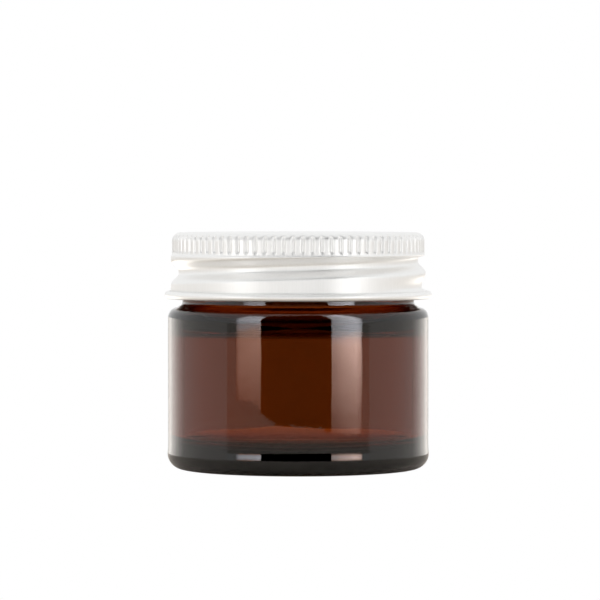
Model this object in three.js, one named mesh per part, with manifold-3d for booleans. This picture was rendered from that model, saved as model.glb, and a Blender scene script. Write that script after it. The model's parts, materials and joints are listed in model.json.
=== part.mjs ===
// A cosmetic cream jar: a thick-walled amber glass jar, a rolled aluminium screw cap and the foam liner
// that seals the cap against the glass rim. Millimetres, +Z up, and the origin is at the centre of the
// base, on the surface that the jar stands on. The glass thread and the thread rolled into the cap follow
// one right-hand helix, so the cap screws off along it.
import * as THREE from "three";
import { mergeVertices } from "three/addons/utils/BufferGeometryUtils.js";
import Module from "manifold-3d";

const wasm = await Module();
wasm.setup();

// ---- Driving dimensions ----

// Glass body
const bodyRadius = 22.05;
const bodyWall = 2.7;
const shoulderHeight = 27.6; // top of the shoulder, where the neck rises
const shoulderRound = 1.7;
const shoulderFall = 0.25; // the shoulder slopes down this much from the neck to its rounded edge
const heelRound = 2.6;
const heelSwell = 0.1; // the heel ring stands this far proud of the wall
const heelSwellRise = 1.4; // height over which the wall swells to the heel ring
const baseThickness = 4.0;
const bearingWidth = 2.4; // flat ring that the jar stands on
const pushUp = 1.0; // hollow under the middle of the base
const cavityRound = 2.0; // fillet between the inner wall and the floor
const floorCrown = 0.3; // the floor is this much higher in the middle

// Glass finish: the neck, its rim and its thread
const shoulderStep = 2.4; // from the body in to the neck
const finishHeight = 10.9; // from the shoulder to the rim
const neckWall = 2.4;
const neckFillet = 0.6;
const rimRound = 0.5;
const innerShoulderDrop = 1.3; // the cavity starts to draw in this far under the shoulder's slope
const innerShoulderRise = 3.4; // height over which the cavity draws in to the bore
const pitch = 25.4 / 6;
const threadHeight = 1.3;
const threadWidth = 2.7; // at the neck
const threadCrest = 0.42; // width of its flat top
const threadPlay = 0.25; // the glass thread lies this far under the middle of the cap's open turns
const threadMargin = 0.3; // between the thread's ends and the fillet below or the knurled band above
const helixDrop = 7.4; // the cap's rolled groove passes this far under the rim, on the +X side

// Cap: drawn from one sheet, knurled at the top, with a rolled thread and an outward curl
const sheet = 0.25;
const threadClearance = 0.37; // radial, between the glass thread and the cap's wall
const neckClearance = 0.37; // radial, between the rolled groove and the neck
const rollWidth = 4.06; // of the rolled groove, at the skirt
const rollFlat = 0.5; // width of the groove's flat bottom
const curlGap = 1.2; // between the curl and the shoulder
const curlRound = 0.66;
const curlReach = 1.07; // the curl stands this far out from the skirt
const capCorner = 1.3;
const knurlHeight = 3.75; // knurled band, with the rounded corner above it
const knurlStep = 0.21; // the knurl's ridges lie this far inside the skirt
const knurlDepth = 0.36;
const knurlCount = 84;
const knurlWidth = 0.9; // of one ridge
const bandStep = 0.25; // height over which the skirt steps in to the knurled band

// Liner
const linerThickness = 1.2;
const linerClearance = 0.16; // radial, inside the cap, so that the cap turns freely round the liner
const seatGap = 0.025; // at each face of the liner

// How the threads run out, in turns and in height
const threadFade = 0.09; // turns over which the glass thread rises from the neck
const rollLead = 0.07; // turns from the curl to where the roller first bites
const rollFadeIn = 0.3;
const rollFadeOut = 0.2;
const rollRunOut = 0.5; // height over which the groove runs out at the curl and the knurled band

// Fineness of the round shapes
const segments = 48;
const threadRow = 0.7; // greatest height of one row of faces on a threaded wall

// ---- Heights and radii that follow ----

const rimHeight = shoulderHeight + finishHeight;
const linerBottom = rimHeight + seatGap;
const linerTop = linerBottom + linerThickness;
const capTop = linerTop + seatGap + sheet;
const capBottom = shoulderHeight + curlGap;
const curlTop = capBottom + 2 * curlRound;
const knurlBottom = capTop - knurlHeight;
const neckFoot = shoulderHeight + neckFillet;

const neckRadius = bodyRadius - shoulderStep;
const boreRadius = neckRadius - neckWall;
const cavityRadius = bodyRadius - bodyWall;
const heelRadius = bodyRadius + heelSwell;
const bearingRadius = heelRadius - heelRound;

const skirtRadius = neckRadius + threadHeight + threadClearance + sheet;
const rollDepth = skirtRadius - (neckRadius + neckClearance + sheet);
const knurlRadius = skirtRadius - knurlStep;
const valleyRadius = knurlRadius - knurlDepth;
const linerRadius = valleyRadius - sheet - linerClearance;

// ---- The threads ----

// A helical ridge or groove: its height at angle 0, its section, its two ends and how it fades there.
const rollHelix = rimHeight - helixDrop;
const rolledGroove = {
  helix: rollHelix,
  halfWidth: rollWidth / 2,
  halfFlat: rollFlat / 2,
  start: (curlTop - rollHelix) / pitch + rollLead,
  end: (knurlBottom - rollHelix) / pitch,
  fadeIn: rollFadeIn,
  fadeOut: rollFadeOut,
};

const threadHelix = rollHelix + pitch / 2 - threadPlay;
const glassThread = {
  helix: threadHelix,
  halfWidth: threadWidth / 2,
  halfFlat: threadCrest / 2,
  start: (neckFoot + threadWidth / 2 + threadMargin - threadHelix) / pitch,
  end: (knurlBottom - threadWidth / 2 + threadMargin - threadHelix) / pitch,
  fadeIn: threadFade,
  fadeOut: threadFade,
};

function smooth(t) {
  const s = Math.min(Math.max(t, 0), 1);
  return s * s * (3 - 2 * s);
}

// How high a helical ridge stands at an angle and a height, from 0 to 1.
function ridge(angle, z, { helix, halfWidth, halfFlat, start, end, fadeIn, fadeOut }) {
  const turn = angle / (2 * Math.PI);
  let height = 0;
  for (let whole = Math.floor(start); whole <= Math.ceil(end); whole++) {
    const t = turn + whole;
    const away = Math.abs(z - helix - pitch * t);
    const section = smooth((halfWidth - away) / (halfWidth - halfFlat));
    height = Math.max(height, section * smooth((t - start) / fadeIn) * smooth((end - t) / fadeOut));
  }
  return height;
}

const threadAt = (angle, z) => threadHeight * ridge(angle, z, glassThread);

const rollAt = (angle, z) =>
  rollDepth *
  smooth((z - curlTop) / rollRunOut) *
  smooth((knurlBottom - z) / rollRunOut) *
  ridge(angle, z, rolledGroove);

// ---- Shape helpers ----

const at = (r, z) => new THREE.Vector2(r, z);

// The point on a circle at an angle in degrees, and points on an arc with both ends included.
function onCircle(r, z, radius, degrees) {
  const a = THREE.MathUtils.degToRad(degrees);
  return at(r + radius * Math.cos(a), z + radius * Math.sin(a));
}

function arc(r, z, radius, from, to, steps) {
  return Array.from({ length: steps + 1 }, (_, i) =>
    onCircle(r, z, radius, from + ((to - from) * i) / steps),
  );
}

// Points up or down a straight wall, close enough for a thread, both ends included.
function wall(r, from, to) {
  const rows = Math.ceil(Math.abs(to - from) / threadRow);
  return Array.from({ length: rows + 1 }, (_, i) => at(r, from + ((to - from) * i) / rows));
}

// Points on a smooth S from one point to another, upright at both ends.
function swell(r0, z0, r1, z1, steps) {
  return Array.from({ length: steps + 1 }, (_, i) =>
    at(r0 + (r1 - r0) * smooth(i / steps), z0 + ((z1 - z0) * i) / steps),
  );
}

// A profile turned about the Z axis. It keeps the solid on its left as it goes.
function turned(profile) {
  return new THREE.LatheGeometry(profile, segments).rotateX(Math.PI / 2);
}

// Moves each vertex outwards by a length worked out from its angle, height and radius.
function displaced(geometry, outwardsAt) {
  const position = geometry.getAttribute("position");
  for (let i = 0; i < position.count; i++) {
    const x = position.getX(i);
    const y = position.getY(i);
    const r = Math.hypot(x, y);
    const out = r > 0 ? outwardsAt(Math.atan2(y, x), position.getZ(i), r) : 0;
    if (out !== 0) position.setXY(i, x * (1 + out / r), y * (1 + out / r));
  }
  return geometry;
}

// A closed mesh as a solid for joining, and a solid as a geometry.
function solid(geometry) {
  const bare = new THREE.BufferGeometry().setAttribute("position", geometry.getAttribute("position"));
  if (geometry.index) bare.setIndex(geometry.index);
  const merged = mergeVertices(bare, 1e-4);
  return new wasm.Manifold(
    new wasm.Mesh({
      numProp: 3,
      vertProperties: new Float32Array(merged.getAttribute("position").array),
      triVerts: new Uint32Array(merged.index.array),
    }),
  );
}

function geometryOf(made) {
  const mesh = made.getMesh();
  return new THREE.BufferGeometry()
    .setAttribute("position", new THREE.BufferAttribute(mesh.vertProperties, 3))
    .setIndex(new THREE.BufferAttribute(mesh.triVerts, 1));
}

// ---- Glass jar ----

// From the middle of the base out to the heel and up to the neck's foot. The rounded edge of the shoulder
// stops a little short of level, and so does the neck's fillet, so a straight slope joins them.
function bodyOutside() {
  const slope = 6;
  const bearingInner = bearingRadius - bearingWidth;
  const edge = shoulderHeight - shoulderFall - shoulderRound;
  return [
    at(0, pushUp),
    at(bearingInner / 2, pushUp * (3 / 4)),
    at(bearingInner, 0),
    ...arc(bearingRadius, heelRound, heelRound, -90, 0, 5),
    ...swell(heelRadius, heelRound + heelSwell, bodyRadius, heelRound + heelSwellRise, 2),
    ...arc(bodyRadius - shoulderRound, edge, shoulderRound, 0, 90 - slope, 5),
    ...arc(neckRadius + neckFillet, neckFoot, neckFillet, -90 - slope, -180, 3),
  ];
}

function glassJar() {
  const cavityTop = shoulderHeight - shoulderFall - innerShoulderDrop;
  const profile = [
    ...bodyOutside(),
    ...wall(neckRadius, neckFoot + threadMargin, rimHeight - rimRound - threadMargin),
    ...arc(neckRadius - rimRound, rimHeight - rimRound, rimRound, 0, 90, 2),
    ...arc(boreRadius + rimRound, rimHeight - rimRound, rimRound, 90, 180, 2),
    ...swell(boreRadius, cavityTop, cavityRadius, cavityTop - innerShoulderRise, 4),
    ...arc(cavityRadius - cavityRound, baseThickness + cavityRound, cavityRound, 0, -90, 4),
    at(0, baseThickness + floorCrown),
  ];
  const outsideOfNeck = neckRadius - rimRound / 2;
  return displaced(turned(profile), (angle, z, r) => (r > outsideOfNeck ? threadAt(angle, z) : 0));
}

// ---- Screw cap ----

const capEdge = [valleyRadius - capCorner, capTop - capCorner]; // centre of the rounded corner
const bandFoot = knurlBottom + bandStep / 2;

// One knurl ridge: a rib that stands on the band, starts half buried in the sheet, and sinks into the
// rounded corner above it.
function knurlRib() {
  const root = sheet / 2;
  const side = new THREE.Shape([
    at(valleyRadius - root, bandFoot),
    at(knurlRadius, bandFoot + root),
    ...arc(...capEdge, capCorner + knurlDepth, 0, 24, 2),
    onCircle(...capEdge, capCorner, 44),
    onCircle(...capEdge, capCorner - root, 40),
    at(valleyRadius - root, capEdge[1]),
  ]);
  return new THREE.ExtrudeGeometry(side, { depth: knurlWidth, bevelEnabled: false })
    .translate(0, 0, -knurlWidth / 2)
    .rotateX(Math.PI / 2);
}

// The sheet's inner face from the middle of the top panel down to the curl.
function capInside() {
  const inner = skirtRadius - sheet;
  return [
    at(0, capTop - sheet),
    ...arc(...capEdge, capCorner - sheet, 90, 0, 3),
    at(valleyRadius - sheet, bandFoot),
    ...wall(inner, bandFoot - bandStep, curlTop + rollRunOut),
    at(inner, curlTop),
    at(inner, capBottom + curlRound / 2),
  ];
}

// Its outer face from under the curl up to the middle of the top panel.
function capOutside() {
  const curlCentre = [skirtRadius + curlReach - curlRound, capBottom + curlRound];
  return [
    ...arc(...curlCentre, curlRound, -135, 135, 6),
    at(skirtRadius, curlTop),
    ...wall(skirtRadius, curlTop + rollRunOut, bandFoot - bandStep),
    at(valleyRadius, bandFoot),
    ...arc(...capEdge, capCorner, 0, 90, 3),
    at(0, capTop),
  ];
}

function screwCap() {
  const shell = displaced(turned([...capInside(), ...capOutside()]), (angle, z) => -rollAt(angle, z));
  const rib = solid(knurlRib());
  const ribs = Array.from({ length: knurlCount }, (_, i) =>
    rib.rotate([0, 0, (360 * (i + 0.5)) / knurlCount]),
  );
  return geometryOf(ribs.reduce((cap, one) => cap.add(one), solid(shell)));
}

// ---- Liner ----

// A foam disc laid in the cap: its upper edge is rounded as the inside of the cap's corner is.
function foamLiner() {
  const round = capCorner - sheet;
  const profile = [
    at(0, linerBottom),
    at(linerRadius, linerBottom),
    ...arc(linerRadius - round, linerTop - round, round, 0, 90, 4),
    at(0, linerTop),
  ];
  return turned(profile);
}

// ---- The object ----

const amberGlass = new THREE.MeshStandardMaterial({
  color: "#6e3310",
  roughness: 0.03,
  metalness: 0,
  transparent: true,
  opacity: 0.75,
});
const satinAluminium = new THREE.MeshStandardMaterial({ color: "#dcdddc", roughness: 0.35, metalness: 1 });
const whiteFoam = new THREE.MeshStandardMaterial({ color: "#f2f1ec", roughness: 0.75, metalness: 0 });

function piece(name, geometry, material) {
  const mesh = new THREE.Mesh(geometry, material);
  mesh.name = name;
  return mesh;
}

const jar = new THREE.Group();
jar.add(piece("glass_jar", glassJar(), amberGlass));
jar.add(piece("screw_cap", screwCap(), satinAluminium));
jar.add(piece("foam_liner", foamLiner(), whiteFoam));

export default jar;
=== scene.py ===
# %% [markdown]
# # A cosmetic cream jar
#
# The real object is three pieces: a thick amber glass jar, a screw cap rolled from thin aluminium sheet,
# and a round foam liner inside the cap. This lesson makes each piece again as a fine surface, in the exact
# place of its plain engineering solid, and gives it the finish of the real material.
#
# We start with the engineering model. It is the frame that everything else is measured from, and its
# bodies carry the motion: the cap turns and rises along its thread, and the liner rises with it.

# %% Load the engineering frame
import json
import math

import bpy
import numpy as np
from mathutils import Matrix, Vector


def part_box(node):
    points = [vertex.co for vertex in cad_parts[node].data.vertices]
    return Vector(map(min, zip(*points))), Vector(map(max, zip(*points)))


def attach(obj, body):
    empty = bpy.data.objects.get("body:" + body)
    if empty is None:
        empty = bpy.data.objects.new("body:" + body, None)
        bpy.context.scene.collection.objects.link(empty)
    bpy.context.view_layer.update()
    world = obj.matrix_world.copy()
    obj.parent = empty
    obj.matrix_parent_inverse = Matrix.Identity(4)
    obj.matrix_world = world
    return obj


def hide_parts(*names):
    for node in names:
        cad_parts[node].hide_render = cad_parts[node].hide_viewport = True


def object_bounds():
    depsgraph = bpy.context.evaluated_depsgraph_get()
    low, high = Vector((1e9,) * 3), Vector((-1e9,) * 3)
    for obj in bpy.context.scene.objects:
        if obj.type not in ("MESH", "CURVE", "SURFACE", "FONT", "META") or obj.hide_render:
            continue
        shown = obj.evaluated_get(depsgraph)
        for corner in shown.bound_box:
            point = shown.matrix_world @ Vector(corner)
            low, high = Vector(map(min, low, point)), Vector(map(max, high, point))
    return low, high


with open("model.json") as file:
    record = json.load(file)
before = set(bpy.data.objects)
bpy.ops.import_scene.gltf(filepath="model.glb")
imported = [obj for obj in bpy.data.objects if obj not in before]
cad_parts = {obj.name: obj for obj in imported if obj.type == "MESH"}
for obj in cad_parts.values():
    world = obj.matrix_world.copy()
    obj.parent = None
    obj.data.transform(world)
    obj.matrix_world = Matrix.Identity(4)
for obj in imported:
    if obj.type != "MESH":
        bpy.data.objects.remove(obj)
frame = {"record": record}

cad_box = [list(corner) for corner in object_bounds()]
MM = 0.001
size_mm = [(high - low) / MM for low, high in zip(*cad_box)]
print("the jar measures", [round(side, 1) for side in size_mm], "mm")

# %% [markdown]
# ## Sizes
#
# Lengths that the engineering model knows are read from its boxes: how high the rim is, where the cap
# starts and ends, how wide the liner is. The thread's pitch is read from the joints, because the cap rises
# by one pitch for each turn. What no box can say, such as the roundness of an edge, is written here in
# millimetres, as a toolmaker would note it on the drawing.

# %% Read the sizes, in millimetres
jar_high = np.array(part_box("glass_jar")[1]) / MM
cap_low, cap_high = (np.array(corner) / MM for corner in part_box("screw_cap"))
liner_low, liner_high = (np.array(corner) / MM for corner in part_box("foam_liner"))

screw = frame["record"]["behaviour"]["couplings"][0]
pitch = abs(screw["ratio"]) * 2 * math.pi / MM

rim_height = jar_high[2]
heel_radius = jar_high[0]
heel_swell = 0.1
body_radius = heel_radius - heel_swell
neck_step = 2.4
neck_radius = body_radius - neck_step
finish_height = 10.9
shoulder_height = rim_height - finish_height
cap_bottom, cap_top = cap_low[2], cap_high[2]
print(f"pitch {pitch:.3f}, rim at {rim_height:.2f}, cap from {cap_bottom:.2f} to {cap_top:.2f} mm")

# %% [markdown]
# ## Helpers for turned shapes
#
# All three pieces are turned shapes: a profile of radius and height, carried round the upright axis. So
# one helper lays out a grid with one row for each profile point and one column for each angle, and a
# shape is then a pair of arrays, radius and height. Anything that isn't round, such as a thread, is an
# amount added to the radius array. A lathe modifier could turn a plain profile, but it couldn't put a
# thread into it.
#
# Profiles are strings of straight lines and arcs. The arcs meet the lines without a corner, because a
# moulded or drawn edge is always rounded, and the light on that small round edge is what the eye reads.

# %% Lines, arcs and smooth steps
def line(start, end, spacing=None):
    """Points from start to end, both included, no further apart than the spacing."""
    start, end = np.array(start, float), np.array(end, float)
    steps = max(1, math.ceil(np.linalg.norm(end - start) / spacing)) if spacing else 1
    return start + (end - start) * np.linspace(0, 1, steps + 1)[:, None]


def arc(centre, radius, start, end, steps):
    """Points on a circle from one angle to another, in degrees: centre + radius * (cos, sin)."""
    angle = np.radians(np.linspace(start, end, steps + 1))
    return np.array(centre) + radius * np.stack([np.cos(angle), np.sin(angle)], axis=1)


def smooth(t):
    """0 below 0, 1 above 1, and 3t^2 - 2t^3 between, which leaves and arrives level."""
    t = np.clip(t, 0, 1)
    return t * t * (3 - 2 * t)


def swell(start, end, steps):
    """A smooth S from start to end: the radius eases while the height goes evenly."""
    t = np.linspace(0, 1, steps + 1)
    radius = start[0] + (end[0] - start[0]) * smooth(t)
    return np.stack([radius, start[1] + (end[1] - start[1]) * t], axis=1)


def slope_down(start, end, steps):
    """A gentle S from start to end whose slope is nearly even: half a smooth step and half a line."""
    t = np.linspace(0, 1, steps + 1)
    share = (smooth(t) + t) / 2
    radius = start[0] + (end[0] - start[0]) * share
    return np.stack([radius, start[1] + (end[1] - start[1]) * t], axis=1)


def joined(*runs):
    """One profile from several runs, with the points that two runs share kept once."""
    points = np.concatenate(runs)
    step = np.linalg.norm(np.diff(points, axis=0), axis=1)
    return points[np.concatenate([[True], step > 1e-4])]


# %% A grid of radius and height becomes a closed mesh
def turned_piece(name, angle, radius, height):
    """Puts a grid into a mesh. Row i and column j give the point radius * (cos, sin) of the angle, at a
    height. The first and last rows lie on the axis, so each of them is a single point with a fan of
    triangles round it, and the columns close on themselves."""
    rows, around = radius.shape
    grid = np.stack([radius * np.cos(angle), radius * np.sin(angle), height], axis=-1)
    ring = grid[1:-1].reshape(-1, 3)
    points = np.concatenate([grid[:1, 0], ring, grid[-1:, 0]]) * MM

    j = np.arange(around)
    beside = (j + 1) % around
    i = np.arange(rows - 3)[:, None] * around + 1
    quads = np.stack([i + j, i + beside, i + around + beside, i + around + j], axis=-1)
    last = 1 + (rows - 3) * around
    first_fan = np.stack([np.zeros_like(j), 1 + beside, 1 + j], axis=-1)
    last_fan = np.stack([np.full_like(j, len(points) - 1), last + j, last + beside], axis=-1)

    mesh = bpy.data.meshes.new(name)
    faces = quads.reshape(-1, 4).tolist() + first_fan.tolist() + last_fan.tolist()
    mesh.from_pydata(points.tolist(), [], faces)
    mesh.shade_smooth()
    piece = bpy.data.objects.new(name, mesh)
    bpy.context.collection.objects.link(piece)
    print(f"{name}: {len(faces)} faces, {enclosed_volume(mesh) / MM**3:.0f} cubic mm")
    return piece


def enclosed_volume(mesh):
    """A sixth of the sum of a . (b x c) over the triangles, which is positive when faces point out."""
    mesh.calc_loop_triangles()
    corner = np.empty(len(mesh.loop_triangles) * 3, dtype=np.int32)
    mesh.loop_triangles.foreach_get("vertices", corner)
    place = np.empty(len(mesh.vertices) * 3)
    mesh.vertices.foreach_get("co", place)
    a, b, c = place.reshape(-1, 3)[corner.reshape(-1, 3)].transpose(1, 0, 2)
    return float((a * np.cross(b, c)).sum() / 6)


# %% [markdown]
# ## The thread
#
# The glass thread and the groove rolled into the cap run along one right-hand helix. A point at some
# angle and height lies on the ridge if its height is near the helix's height at that angle, which climbs
# by one pitch a turn. So the ridge is a function of angle and height: its section, faded out at both ends
# of its run. The glass thread bears on the upper flank of the groove, where the cap pulls down on it.

# %% One ridge function for both threads
def ridge(angle, height, helix, width, crest, start, end, fade_in, fade_out):
    """How far a helical ridge stands up, from 0 to 1: the highest of its turns, where each turn's section
    is smooth((width/2 - distance from the helix) / (width/2 - crest/2)). Start, end and fades are turns."""
    turns = np.arange(math.floor(start), math.ceil(end) + 1)[:, None, None]
    along = angle / (2 * math.pi) + turns
    distance = np.abs(height - helix - pitch * along)
    section = smooth((width - 2 * distance) / (width - crest))
    return (section * smooth((along - start) / fade_in) * smooth((end - along) / fade_out)).max(axis=0)


thread_height = 1.3
thread_clearance = 0.37
groove_below_rim = 7.4
flank_gap = 0.25
knurl_band = 3.75

groove_helix = rim_height - groove_below_rim
thread_helix = groove_helix + pitch / 2 - flank_gap
knurl_bottom = cap_top - knurl_band
print(f"the thread stands {thread_height} mm high and the knurls start at {knurl_bottom:.2f} mm")

# %% [markdown]
# ## The glass jar
#
# A plunger presses the neck and its thread, then air blows the body out against a polished mould. That
# leaves a few marks that tell the eye it is glass and not plastic: a thick base with a hollow under it, a
# heel that swells a little where the glass was still soft, an inner wall that is never quite even, a
# shoulder full of solid glass, and a faint seam where the mould's halves met.
#
# It is one closed surface, outside and inside, so light really passes through the wall's two faces.

# %% The jar's profile, from under the base to the rim and down the inside
base_thickness = 4.0
body_wall = 2.7
neck_wall = 2.4
heel_round = 2.6
heel_slope = 1.2
shoulder_round = 1.7
shoulder_fall = 0.25
shoulder_depth = 1.55
neck_fillet = 0.6
rim_round = 0.5
cavity_round = 2.0
cavity_neck = 3.4
bearing_width = 2.4
hollow_height = 1.0

cavity_radius = body_radius - body_wall
bore_radius = neck_radius - neck_wall
bearing_radius = heel_radius - heel_round
bearing_inner = bearing_radius - bearing_width
hollow_edge = (bearing_inner - 4, hollow_height - 0.15)
shoulder_edge = shoulder_height - shoulder_fall - shoulder_round
cavity_top = shoulder_height - shoulder_depth
cavity_foot = base_thickness + cavity_round
wall_foot = heel_round + heel_slope

base = joined(
    line((0, hollow_height), hollow_edge, 1.5),
    swell(hollow_edge, (bearing_inner - 0.4, 0.08), 6),
    line((bearing_inner, 0.0), (bearing_radius, 0.0), 0.8),
)
outside = joined(
    arc((bearing_radius, heel_round), heel_round, -90, 0, 16),
    slope_down((heel_radius, heel_round), (body_radius, wall_foot), 12),
    line((body_radius, wall_foot), (body_radius, shoulder_edge), 0.5),
    arc((body_radius - shoulder_round, shoulder_edge), shoulder_round, 0, 84, 12),
    arc((neck_radius + neck_fillet, shoulder_height + neck_fillet), neck_fillet, -96, -180, 6),
)
finish = joined(
    line(
        (neck_radius, shoulder_height + neck_fillet + 0.1),
        (neck_radius, rim_height - rim_round - 0.1),
        0.18,
    ),
    arc((neck_radius - rim_round, rim_height - rim_round), rim_round, 0, 90, 6),
    arc((bore_radius + rim_round, rim_height - rim_round), rim_round, 90, 180, 6),
)
inside = joined(
    line((bore_radius, rim_height - 1.0), (bore_radius, cavity_top + 0.4), 1.0),
    swell((bore_radius, cavity_top), (cavity_radius, cavity_top - cavity_neck), 16),
    line((cavity_radius, cavity_top - cavity_neck - 0.4), (cavity_radius, cavity_foot), 0.6),
    arc((cavity_radius - cavity_round, cavity_foot), cavity_round, 0, -90, 10),
    line((cavity_radius - cavity_round - 1.5, base_thickness), (0, base_thickness + 0.3), 2.0),
)
jar_profile = joined(base, outside, finish, inside)
print(len(jar_profile), "points in the jar's profile")

# %% Thread, seam and the unevenness of blown glass, added to the radius
jar_angle = np.linspace(0, 2 * math.pi, 256, endpoint=False)
radius, height = (np.repeat(side[:, None], len(jar_angle), axis=1) for side in jar_profile.T)
is_inside = (np.arange(len(jar_profile)) >= len(joined(base, outside, finish)))[:, None]

thread_start = shoulder_height + neck_fillet + 1.65
thread_end = knurl_bottom - 1.05
thread = ridge(
    jar_angle,
    height,
    thread_helix,
    width=2.7,
    crest=0.42,
    start=(thread_start - thread_helix) / pitch,
    end=(thread_end - thread_helix) / pitch,
    fade_in=0.09,
    fade_out=0.09,
)
above_fillet = height > shoulder_height + neck_fillet
on_neck = (~is_inside) & (radius > neck_radius - rim_round / 2) & above_fillet
thread = thread_height * thread * on_neck


def waves(angle, height, amplitude, bends, first_phase):
    """A sum of slow waves round and up the wall, each weaker than the last: for wave m, counted from 1,
    amplitude / m * cos(n * angle + k * height + m * first_phase), where n and k are its bends."""
    total = np.zeros(np.broadcast(angle, height).shape)
    for count, (turns, per_mm) in enumerate(bends, start=1):
        total += amplitude / count * np.cos(turns * angle + per_mm * height + first_phase * count)
    return total


wall_fade = 3
seam_height, seam_width = 0.03, 0.35
on_wall = smooth((height - wall_foot) / wall_fade) * smooth((shoulder_edge - height) / wall_fade)
outer_waves = waves(jar_angle, height, 0.006, [(3, 0.35), (7, -0.6), (12, 0.45)], 1.9)
inner_waves = waves(jar_angle, height, 0.015, [(2, 0.25), (5, -0.4), (9, 0.7)], 0.7)
seam = seam_height * np.exp(-((np.sin(jar_angle) * body_radius / seam_width) ** 2))
skin = np.where(is_inside, inner_waves, outer_waves + seam) * on_wall

glass_jar = turned_piece("amber_glass_jar", jar_angle, radius + thread + skin, height)

# %% [markdown]
# ## The screw cap
#
# The cap starts as a disc of aluminium sheet a quarter of a millimetre thick. A press draws it into a
# cup, a knurled wheel presses the finger grips into its top edge, a roller squeezes the thread groove into
# its skirt, and the cut edge is curled outwards into a hollow bead, so that it can't cut a finger.
#
# Its profile is that sheet: down the inner face, round the outside of the curl, back along the curl's
# inside, and up the outer face. The roller and the wheel push both faces in by the same amount, so a
# groove on the outside is a ridge on the inside.
#
# A profile has to keep the metal on its left as it goes, so that the faces look outwards. This one is
# easier to draw from the top down, so it is drawn that way and read backwards.

# %% The cap's profile: one sheet, drawn from the top panel to the curl and back
sheet = 0.25
corner_round = 1.4
skirt_radius = neck_radius + thread_height + thread_clearance + sheet
band_step = 0.21
knurl_radius = skirt_radius - band_step
knurl_depth = 0.36
curl_round = 0.66
curl_centre = (cap_high[0] - curl_round, cap_bottom + curl_round)
curl_top = cap_bottom + 2 * curl_round
band_foot = knurl_bottom + 0.12
corner = (knurl_radius - corner_round, cap_top - corner_round)

sheet_outside = joined(
    line((0, cap_top), (corner[0] - 3, cap_top), 4.5),
    line((corner[0] - 2, cap_top), (corner[0], cap_top), 1.0),
    arc(corner, corner_round, 90, 0, 12),
    line((knurl_radius, corner[1] - 0.1), (knurl_radius, band_foot), 0.26),
    swell((knurl_radius, band_foot), (skirt_radius, band_foot - 0.35), 5),
    line((skirt_radius, band_foot - 0.5), (skirt_radius, curl_top), 0.22),
)
curl = joined(
    line((skirt_radius, curl_top - 0.3), (skirt_radius, curl_centre[1]), 0.4),
    arc(curl_centre, curl_centre[0] - skirt_radius, 180, 475, 9),
    arc(curl_centre, curl_round, 475, 180, 22),
)
inner_radius = curl_centre[0] - curl_round
sheet_inside = joined(
    line((inner_radius, curl_top - 0.3), (skirt_radius - sheet, curl_top), 0.3),
    line((skirt_radius - sheet, curl_top), (skirt_radius - sheet, band_foot - 0.5), 0.4),
    swell((skirt_radius - sheet, band_foot - 0.35), (knurl_radius - sheet, band_foot), 3),
    line((knurl_radius - sheet, band_foot + 0.2), (knurl_radius - sheet, corner[1]), 0.8),
    arc(corner, corner_round - sheet, 0, 90, 5),
    line((corner[0] - 2, cap_top - sheet), (0, cap_top - sheet), 9.0),
)
cap_profile = joined(sheet_outside, curl, sheet_inside)[::-1]
print(len(cap_profile), "points in the cap's profile")

# %% Angles that suit the knurl, with most of them on the flanks of its grooves
knurl_count = 84
knurl_steps = np.array([0.06, 0.20, 0.31, 0.39, 0.46, 0.54, 0.61, 0.69, 0.80])
knurl_steps = knurl_steps + (0.5 - knurl_steps.mean())
cap_angle = (np.arange(knurl_count)[:, None] + knurl_steps).ravel() * 2 * math.pi / knurl_count
across_knurl = (cap_angle * knurl_count / (2 * math.pi)) % 1
print(len(cap_angle), "columns for", knurl_count, "knurls")

# %% The rolled groove and the knurl, taken from the radius
radius, height = (np.repeat(side[:, None], len(cap_angle), axis=1) for side in cap_profile.T)
rolled = ridge(
    cap_angle,
    height,
    groove_helix,
    width=4.06,
    crest=0.5,
    start=(curl_top - groove_helix) / pitch + 0.07,
    end=(knurl_bottom - groove_helix) / pitch,
    fade_in=0.3,
    fade_out=0.2,
)
runs_out = smooth((height - curl_top) / 0.5) * smooth((knurl_bottom - height) / 0.5)
on_skirt = radius > inner_radius - 0.01
rolled = thread_height * rolled * runs_out * on_skirt

# A groove's section is a smooth trough; its ends are rounded, and the upper one runs up into the corner.
trough = smooth((0.22 - np.abs(across_knurl - 0.5)) / 0.13)
along_band = smooth((height - knurl_bottom - 0.3) / 0.35) * smooth((cap_top - 0.35 - height) / 0.45)
faces_out = radius > knurl_radius - sheet - corner_round / 2
knurl = knurl_depth * trough * along_band * faces_out

screw_cap = turned_piece("aluminium_screw_cap", cap_angle, radius - rolled - knurl, height)

# %% [markdown]
# ## The foam liner
#
# The liner is stamped from a sheet of foamed polyethylene and pushed up under the cap's top panel. It
# seals because it is soft, and after the first closing it keeps the print of the glass rim: a shallow
# ring pressed into its underside. We see it only when the cap is off, but it is what makes the cap real.

# %% The liner's profile, with the print of the rim
liner_radius = liner_high[0]
liner_edge = 1.0
stamped_round = 0.15
print_depth = 0.07
print_width, print_fade = 3.0, 0.5
rim_middle = (neck_radius + bore_radius) / 2

liner_profile = joined(
    line((0, liner_low[2]), (liner_radius - stamped_round, liner_low[2]), 0.4),
    arc((liner_radius - stamped_round, liner_low[2] + stamped_round), stamped_round, -90, 0, 3),
    arc((liner_radius - liner_edge, liner_high[2] - liner_edge), liner_edge, 0, 90, 8),
    line((liner_radius - liner_edge, liner_high[2]), (0, liner_high[2]), 6.0),
)
liner_angle = np.linspace(0, 2 * math.pi, 160, endpoint=False)
radius, height = (np.repeat(side[:, None], len(liner_angle), axis=1) for side in liner_profile.T)
under_rim = smooth((print_width / 2 - np.abs(radius - rim_middle)) / print_fade)
on_underside = height < liner_low[2] + 0.01
pressed = print_depth * under_rim * on_underside
foam_liner = turned_piece("foam_liner_disc", liner_angle, radius, height + pressed)

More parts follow.
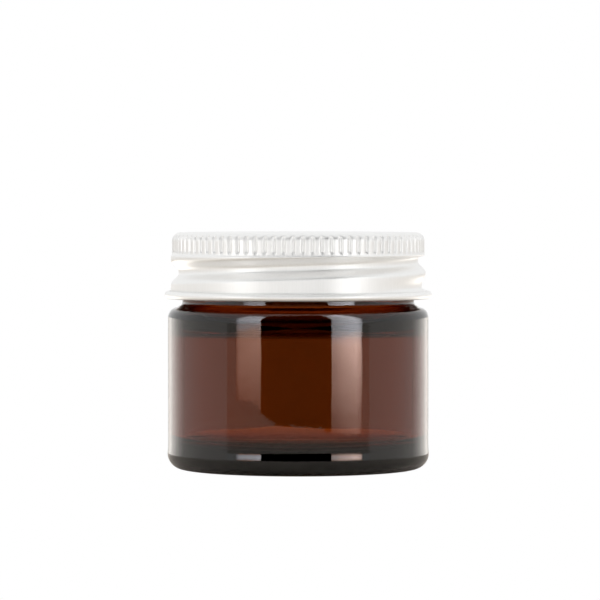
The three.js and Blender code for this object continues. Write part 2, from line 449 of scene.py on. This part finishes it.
# %% [markdown]
# ## Which body carries each piece
#
# Each fine surface takes the place of one engineering solid and moves with that solid's body, so the
# glass stays, the liner rises and the cap turns as it rises.

# %% Ride and replace
for piece, node, body, slot in (
    (glass_jar, "glass_jar", "jar", "amber_glass"),
    (screw_cap, "screw_cap", "cap", "satin_aluminium"),
    (foam_liner, "foam_liner", "liner", "white_foam"),
):
    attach(piece, body)
    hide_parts(node)
    print(piece.name, "rides on", body)

# %% [markdown]
# ## Materials
#
# A material is a small network of nodes. One helper adds a node, sets its choices, and for each input
# takes either a value or the output of another node. A colour is chosen as a screen colour and turned to
# the linear light that the renderer works in.

# %% One helper to add a node, and one to read a colour
def add_node(tree, kind, inputs=None, **choices):
    """Adds a node, sets its choices, then links or sets each named input."""
    node = tree.nodes.new(kind)
    for name, value in choices.items():
        setattr(node, name, value)
    for name, value in (inputs or {}).items():
        if isinstance(value, bpy.types.NodeSocket):
            tree.links.new(value, node.inputs[name])
        else:
            node.inputs[name].default_value = value
    return node


def linear(hex_colour):
    """Each channel c of a screen colour, from 0 to 1, becomes ((c + 0.055) / 1.055) ** 2.4."""
    channels = (int(hex_colour[i : i + 2], 16) / 255 for i in (1, 3, 5))
    return (*(c / 12.92 if c <= 0.04045 else ((c + 0.055) / 1.055) ** 2.4 for c in channels), 1.0)


def new_material(name):
    """An empty material, ready for its nodes."""
    material = bpy.data.materials.new(name)
    material.use_nodes = True
    material.node_tree.nodes.clear()
    return material


# %% [markdown]
# ### Amber soda-lime glass
#
# Amber glass is clear glass coloured through by iron and sulphur. It has no colour on its surface: the
# brown comes from the depth of glass that the light has crossed, so thin walls look like strong tea and
# the thick base looks black. That is an absorbing volume inside a clear, fire-polished surface. A ripple
# of a few thousandths of a millimetre, left by the mould, breaks the edges of what it reflects.

# %% The glass
amber_glass = new_material("amber_soda_lime_glass_moulded")
tree = amber_glass.node_tree
place = add_node(tree, "ShaderNodeTexCoord")
ripple = add_node(
    tree,
    "ShaderNodeTexNoise",
    {"Vector": place.outputs["Object"], "Scale": 0.35 / MM, "Detail": 3.0, "Roughness": 0.45},
)
ripple_bump = add_node(
    tree, "ShaderNodeBump", {"Height": ripple.outputs["Fac"], "Strength": 0.25, "Distance": 0.05 * MM}
)
glass_surface = add_node(
    tree,
    "ShaderNodeBsdfPrincipled",
    {
        "Base Color": (1.0, 1.0, 1.0, 1.0),
        "Roughness": 0.0,
        "IOR": 1.52,
        "Transmission Weight": 1.0,
        "Normal": ripple_bump.outputs["Normal"],
    },
)
glass_depth = add_node(
    tree, "ShaderNodeVolumeAbsorption", {"Color": linear("#e0ae00"), "Density": 1.0 / MM}
)
add_node(
    tree,
    "ShaderNodeOutputMaterial",
    {"Surface": glass_surface.outputs["BSDF"], "Volume": glass_depth.outputs["Volume"]},
)
glass_jar.data.materials.append(amber_glass)
print(glass_jar.name, "wears", amber_glass.name)

# %% [markdown]
# ### Satin drawn aluminium
#
# The cap's sheet is etched and lacquered, so it scatters light softly and shows no sharp reflections.
# Drawing it through the die leaves fine lines down the skirt, and the top panel keeps the grain of the
# rolling mill. Both are finer than a hair, so they are drawn a little coarser here, and kept faint.

# %% The aluminium
satin_aluminium = new_material("satin_aluminium_drawn_lacquered")
tree = satin_aluminium.node_tree
place = add_node(tree, "ShaderNodeTexCoord")
grain_map = add_node(
    tree,
    "ShaderNodeMapping",
    {"Vector": place.outputs["Object"], "Scale": (4.0 / MM, 4.0 / MM, 0.25 / MM)},
)
grain = add_node(
    tree,
    "ShaderNodeTexNoise",
    {"Vector": grain_map.outputs["Vector"], "Scale": 1.0, "Detail": 3.0, "Roughness": 0.6},
)
cloud = add_node(
    tree, "ShaderNodeTexNoise", {"Vector": place.outputs["Object"], "Scale": 0.12 / MM, "Detail": 2.0}
)
gloss = add_node(
    tree,
    "ShaderNodeMapRange",
    {"Value": cloud.outputs["Fac"], "From Min": 0.3, "From Max": 0.7, "To Min": 0.38, "To Max": 0.46},
)
shade = add_node(
    tree,
    "ShaderNodeMix",
    {"Factor": grain.outputs["Fac"], "A": linear("#ebebea"), "B": linear("#f4f4f3")},
    data_type="RGBA",
)
grain_bump = add_node(
    tree, "ShaderNodeBump", {"Height": grain.outputs["Fac"], "Strength": 0.06, "Distance": 0.02 * MM}
)
metal = add_node(
    tree,
    "ShaderNodeBsdfPrincipled",
    {
        "Base Color": shade.outputs["Result"],
        "Metallic": 1.0,
        "Roughness": gloss.outputs["Result"],
        "Normal": grain_bump.outputs["Normal"],
    },
)
add_node(tree, "ShaderNodeOutputMaterial", {"Surface": metal.outputs["BSDF"]})
screw_cap.data.materials.append(satin_aluminium)
print(screw_cap.name, "wears", satin_aluminium.name)

# %% [markdown]
# ### Foamed polyethylene
#
# The foam is white because its cells scatter the light. Its skin is smooth and slightly waxy, with the
# cells showing through as a fine pebbling a third of a millimetre across.

# %% The foam
white_foam = new_material("foamed_polyethylene_sheet")
tree = white_foam.node_tree
place = add_node(tree, "ShaderNodeTexCoord")
cells = add_node(tree, "ShaderNodeTexVoronoi", {"Vector": place.outputs["Object"], "Scale": 3.0 / MM})
cell_shade = add_node(
    tree,
    "ShaderNodeMix",
    {"Factor": cells.outputs["Distance"], "A": linear("#f4f3ee"), "B": linear("#e6e5df")},
    data_type="RGBA",
)
cell_bump = add_node(
    tree, "ShaderNodeBump", {"Height": cells.outputs["Distance"], "Strength": 0.5, "Distance": 0.05 * MM}
)
foam = add_node(
    tree,
    "ShaderNodeBsdfPrincipled",
    {
        "Base Color": cell_shade.outputs["Result"],
        "Roughness": 0.6,
        "IOR": 1.5,
        "Normal": cell_bump.outputs["Normal"],
    },
)
add_node(tree, "ShaderNodeOutputMaterial", {"Surface": foam.outputs["BSDF"]})
foam_liner.data.materials.append(white_foam)
print(foam_liner.name, "wears", white_foam.name)

# %% [markdown]
# ## The studio
#
# Glass is lit by what stands round it, and each thing here is in the picture because the glass shows it.
# Two tall soft boxes at the front corners draw the long highlights down the sides. They are warmer and
# dimmer towards the foot. A black flag between them, bent so that its left end stands further off, keeps
# the middle of the glass clear and deep. A grey surround, seen only through the glass, gives the amber
# its depth: it is darkest straight behind and above. A low card at each side lights the glass where it
# turns away, and the underside of the cap's rings. The camera looks past all of them at a white wall, so
# none of them is visible to it.
#
# Satin metal needs far less light than the small reflection in glass does, so the two boxes light only
# the glass. As a studio does, the cap gets soft lights of its own: one in the place of each box, and a
# dimmer one straight ahead.

# %% Cards that stand on an arc round the jar
def card(name, ends, up, across=((0, 1), (1, 1))):
    """An upright curved card that glows. Its ends, and any points evenly between them, are (degrees,
    distance in mm), with the degrees measured at the jar from the camera's side, positive to the right.
    Its light is a run of (height in mm, brightness, colour) times a run of (share of its width, factor),
    both joined by straight lines and stored at the corners of a fine grid."""
    height_stops, bright_stops, colours = zip(*up)
    share = np.linspace(0, 1, 41)
    level = np.linspace(0, 1, 61) ** 2 * height_stops[-1]
    turn, level = np.meshgrid(share, level, indexing="ij")
    stops = np.linspace(0, 1, len(ends))
    degrees, distance = (np.interp(turn, stops, places) for places in zip(*ends))
    angle = np.radians(degrees)
    points = np.stack([distance * np.sin(angle), -distance * np.cos(angle), level], axis=-1)
    bright = np.interp(level, height_stops, bright_stops) * np.interp(turn, *zip(*across))
    tint = [np.interp(level, height_stops, channel) for channel in zip(*map(linear, colours))]
    light = np.stack([bright * channel for channel in tint[:3]] + [np.ones_like(bright)], axis=-1)

    rows, columns = turn.shape
    i = (np.arange(rows - 1)[:, None] * columns + np.arange(columns - 1)).ravel()
    faces = np.stack([i, i + 1, i + columns + 1, i + columns], axis=-1)
    mesh = bpy.data.meshes.new(name)
    mesh.from_pydata((points.reshape(-1, 3) * MM).tolist(), [], faces.tolist())
    mesh.attributes.new("glow", "FLOAT_COLOR", "POINT").data.foreach_set("color", light.ravel())

    material = new_material(name)
    tree = material.node_tree
    stored = add_node(tree, "ShaderNodeAttribute", attribute_name="glow")
    glowing = add_node(tree, "ShaderNodeEmission", {"Color": stored.outputs["Color"], "Strength": 1.0})
    add_node(tree, "ShaderNodeOutputMaterial", {"Surface": glowing.outputs["Emission"]})
    mesh.materials.append(material)
    made = bpy.data.objects.new(name, mesh)
    bpy.context.collection.objects.link(made)
    made.visible_camera = False
    made.visible_shadow = False
    return made


def shines_only_on(lamp, piece):
    """Limits a light to one piece, as a snoot would."""
    lit = bpy.data.collections.new(lamp.name + "_lights")
    lit.objects.link(piece)
    lamp.light_linking.receiver_collection = lit


# %% Soft boxes, flag and cards
daylight, white, cream, warm, warmer = "#f8f8ff", "#ffffff", "#fffaf4", "#ffdccd", "#ffcdb8"
box_height = 260
left_box = card(
    "soft_box_left",
    [(-53.6, 240), (-31.1, 240)],
    up=[
        (0, 1.7, warmer),
        (5.7, 2.5, warmer),
        (15.2, 5.0, warmer),
        (19.5, 4.0, daylight),
        (30.5, 6.0, daylight),
        (box_height, 6.0, daylight),
    ],
    across=[(0, 0.4), (0.15, 0.85), (1, 1.05)],
)
right_box = card(
    "soft_box_right",
    [(26.7, 147), (53.9, 147)],
    up=[
        (0, 1.9, warm),
        (2.5, 2.4, warm),
        (10.1, 5.4, warm),
        (17.4, 9.4, warm),
        (20.4, 6.0, daylight),
        (31, 6.8, daylight),
        (box_height, 6.8, daylight),
    ],
    across=[(0, 0.6), (0.13, 0.65), (0.43, 1.0), (0.8, 1.3), (0.95, 0.9), (1, 0.2)],
)
flag = card(
    "black_flag",
    [(-31.1, 216), (-22, 188), (0, 155), (26.9, 145)],
    up=[(0, 0.0, white), (box_height, 0.0, white)],
)
for front in (left_box, right_box, flag):
    front.visible_transmission = False
    front.visible_diffuse = False
for box in (left_box, right_box):
    shines_only_on(box, glass_jar)

to_the_middle = [(0, 1.6), (0.29, 2.6), (0.38, 2.2), (0.45, 1.5), (0.48, 1.0)]
surround = card(
    "grey_surround",
    [(60, 60), (300, 60)],
    up=[(0, 0.2, white), (22.5, 0.2, white), (25, 0.08, white), (140, 0.08, white)],
    across=to_the_middle + [(1 - share, factor) for share, factor in reversed(to_the_middle)],
)
surround.visible_glossy = False
surround.visible_diffuse = False
for side in (1, -1):
    edge_card = card(
        "edge_card",
        [(side * 56, 75), (side * 103, 63), (side * 162, 59)],
        up=[(0, 1.0, cream), (25, 1.0, cream)],
        across=[(0, 1), (0.5, 1), (0.65, 1.9), (0.77, 2.3), (0.84, 1.4), (0.88, 0.95), (1, 0.65)],
    )
    edge_card.visible_transmission = False
    edge_card.visible_diffuse = False
print("soft boxes", left_box.name, "and", right_box.name, "with", flag.name, "between them")

# %% The cap's own three soft lights
lamp_height = 150
lamp_level = 35


def cap_light(name, degrees, distance, width, brightness):
    """An upright rectangle of light that faces the cap and lights nothing else. Its energy is its
    brightness times pi times its area, so a wider light isn't a brighter one."""
    lamp_data = bpy.data.lights.new(name, "AREA")
    lamp_data.shape = "RECTANGLE"
    lamp_data.size, lamp_data.size_y = width * MM, lamp_height * MM
    lamp_data.energy = brightness * math.pi * lamp_data.size * lamp_data.size_y
    lamp = bpy.data.objects.new(name, lamp_data)
    bpy.context.collection.objects.link(lamp)
    angle = math.radians(degrees)
    lamp.location = (distance * math.sin(angle) * MM, -distance * math.cos(angle) * MM, lamp_level * MM)
    lamp.rotation_euler = (math.pi / 2, 0, angle)
    lamp.visible_camera = False
    shines_only_on(lamp, screw_cap)
    print(f"{name}: {degrees} degrees round, {distance} mm away, {width} mm wide")


cap_light("cap_light_left", -44, 170, 80, 1.65)
cap_light("cap_light_middle", -2, 100, 84, 0.95)
cap_light("cap_light_right", 41, 130, 61, 1.7)

# %% A grey table that the glass reflects, and a white wall that the camera sees
floor_mesh = bpy.data.meshes.new("grey_table")
reach = 1000 * MM
floor_level = -0.05 * MM
floor_mesh.from_pydata(
    [(x * reach, y * reach, floor_level) for x, y in ((-1, -1), (1, -1), (1, 1), (-1, 1))],
    [],
    [(0, 1, 2, 3)],
)
table_paint = new_material("grey_table_paint")
tree = table_paint.node_tree
paint = add_node(tree, "ShaderNodeBsdfPrincipled", {"Base Color": linear("#d6cdc2"), "Roughness": 0.9})
add_node(tree, "ShaderNodeOutputMaterial", {"Surface": paint.outputs["BSDF"]})
floor_mesh.materials.append(table_paint)
table = bpy.data.objects.new("grey_table", floor_mesh)
bpy.context.collection.objects.link(table)
table.visible_camera = False

scene = bpy.context.scene
scene.view_settings.view_transform = "Standard"
world = bpy.data.worlds.new("white_studio")
world.use_nodes = True
world.node_tree.nodes.clear()
sky = add_node(world.node_tree, "ShaderNodeBackground", {"Color": linear("#ffffff"), "Strength": 1.0})
add_node(world.node_tree, "ShaderNodeOutputWorld", {"Surface": sky.outputs["Background"]})
scene.world = world
print("table", table.name, "under a", world.name)

# %% [markdown]
# ## The camera
#
# A long lens from two-thirds of a metre away, a little above the cap's top, so the jar is seen almost
# square on and its rims show as very flat ellipses.

# %% Place the camera
camera_data = bpy.data.cameras.new("camera")
camera_data.lens = 227
camera_data.sensor_width = 36
camera_data.clip_start = 0.01
camera_data.clip_end = 20
camera = bpy.data.objects.new("camera", camera_data)
bpy.context.collection.objects.link(camera)
camera_distance, camera_height, aim_height, aside = 641, 45.8, 28.53, 0.3
camera.location = (aside * MM, -camera_distance * MM, camera_height * MM)
camera.rotation_euler = (math.pi / 2 - math.atan2(camera_height - aim_height, camera_distance), 0, 0)
scene.camera = camera
print(f"the camera stands {camera_distance} mm away and {camera_height} mm up")

# %% Print the engineering model's box
print("engineering box", cad_box)
